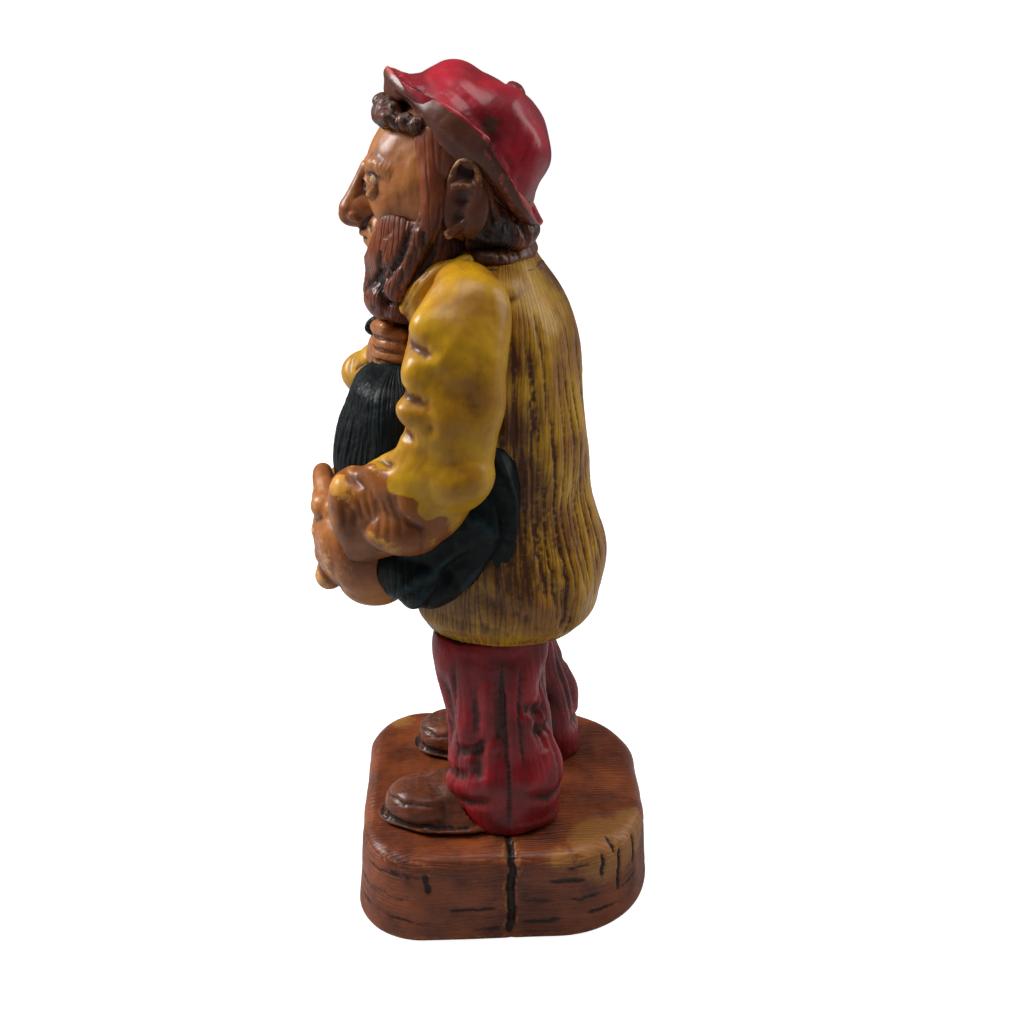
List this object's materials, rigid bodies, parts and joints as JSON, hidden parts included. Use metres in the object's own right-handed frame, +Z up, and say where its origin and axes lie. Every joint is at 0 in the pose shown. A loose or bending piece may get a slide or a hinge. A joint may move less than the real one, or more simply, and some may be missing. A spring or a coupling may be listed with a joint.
{
  "type": "carved wooden figurine",
  "caption": "Painted carved wooden figurine of a bearded man in a felt hat and smock hugging a sack, doweled to a rounded stained wooden block.",
  "frame": {"origin": "centre of the base block's underside, on the surface that the figurine stands on", "axes": "+Z up; the man looks along -Y; his left hand side is +X"},
  "size_m": [0.0792, 0.0894, 0.222],
  "materials": {
    "stained_base": "reddish-brown stain under semi-gloss varnish, worn to ochre at the edges",
    "yellow_paint": "mustard-yellow paint over gouged wood, brown glaze in the grooves, semi-gloss varnish",
    "red_paint": "crimson paint over gouged wood, brown glaze in the folds, semi-gloss varnish",
    "hat_paint": "crimson paint, bare brown wood under the brim, semi-gloss varnish",
    "sack_paint": "very dark green paint, glossy varnish",
    "skin_wood": "warm flesh stain over bare wood, semi-gloss varnish",
    "hair_stain": "reddish-brown stain in carved strands, semi-gloss varnish",
    "collar_stain": "brown stain over bare wood, semi-gloss varnish",
    "shoe_stain": "brown stain over scored wood, semi-gloss varnish",
    "eye_paint": "cream paint with a dark iris, glossy varnish",
    "dowel_wood": "bare beech dowel"
  },
  "bodies": {
    "root": {"base_block": "stained_base", "beard": "hair_stain", "coat_body": "yellow_paint", "coat_collar": "collar_stain", "fringe": "hair_stain", "hair": "hair_stain", "hat": "hat_paint", "hat_dowel": "dowel_wood", "head": "skin_wood", "left_arm_dowel": "dowel_wood", "left_ear": "skin_wood", "left_eye": "eye_paint", "left_hand": "skin_wood", "left_lapel": "yellow_paint", "left_leg_dowel": "dowel_wood", "left_shoe": "shoe_stain", "left_sleeve": "yellow_paint", "left_trouser_leg": "red_paint", "left_wrist_dowel": "dowel_wood", "neck_dowel": "dowel_wood", "right_arm_dowel": "dowel_wood", "right_ear": "skin_wood", "right_eye": "eye_paint", "right_hand": "skin_wood", "right_lapel": "yellow_paint", "right_leg_dowel": "dowel_wood", "right_shoe": "shoe_stain", "right_sleeve": "yellow_paint", "right_trouser_leg": "red_paint", "right_wrist_dowel": "dowel_wood", "sack_body": "sack_paint", "sack_dowel": "dowel_wood", "sack_neck": "sack_paint", "seat_dowel": "dowel_wood", "trouser_seat": "red_paint"}
  },
  "joints": []
}
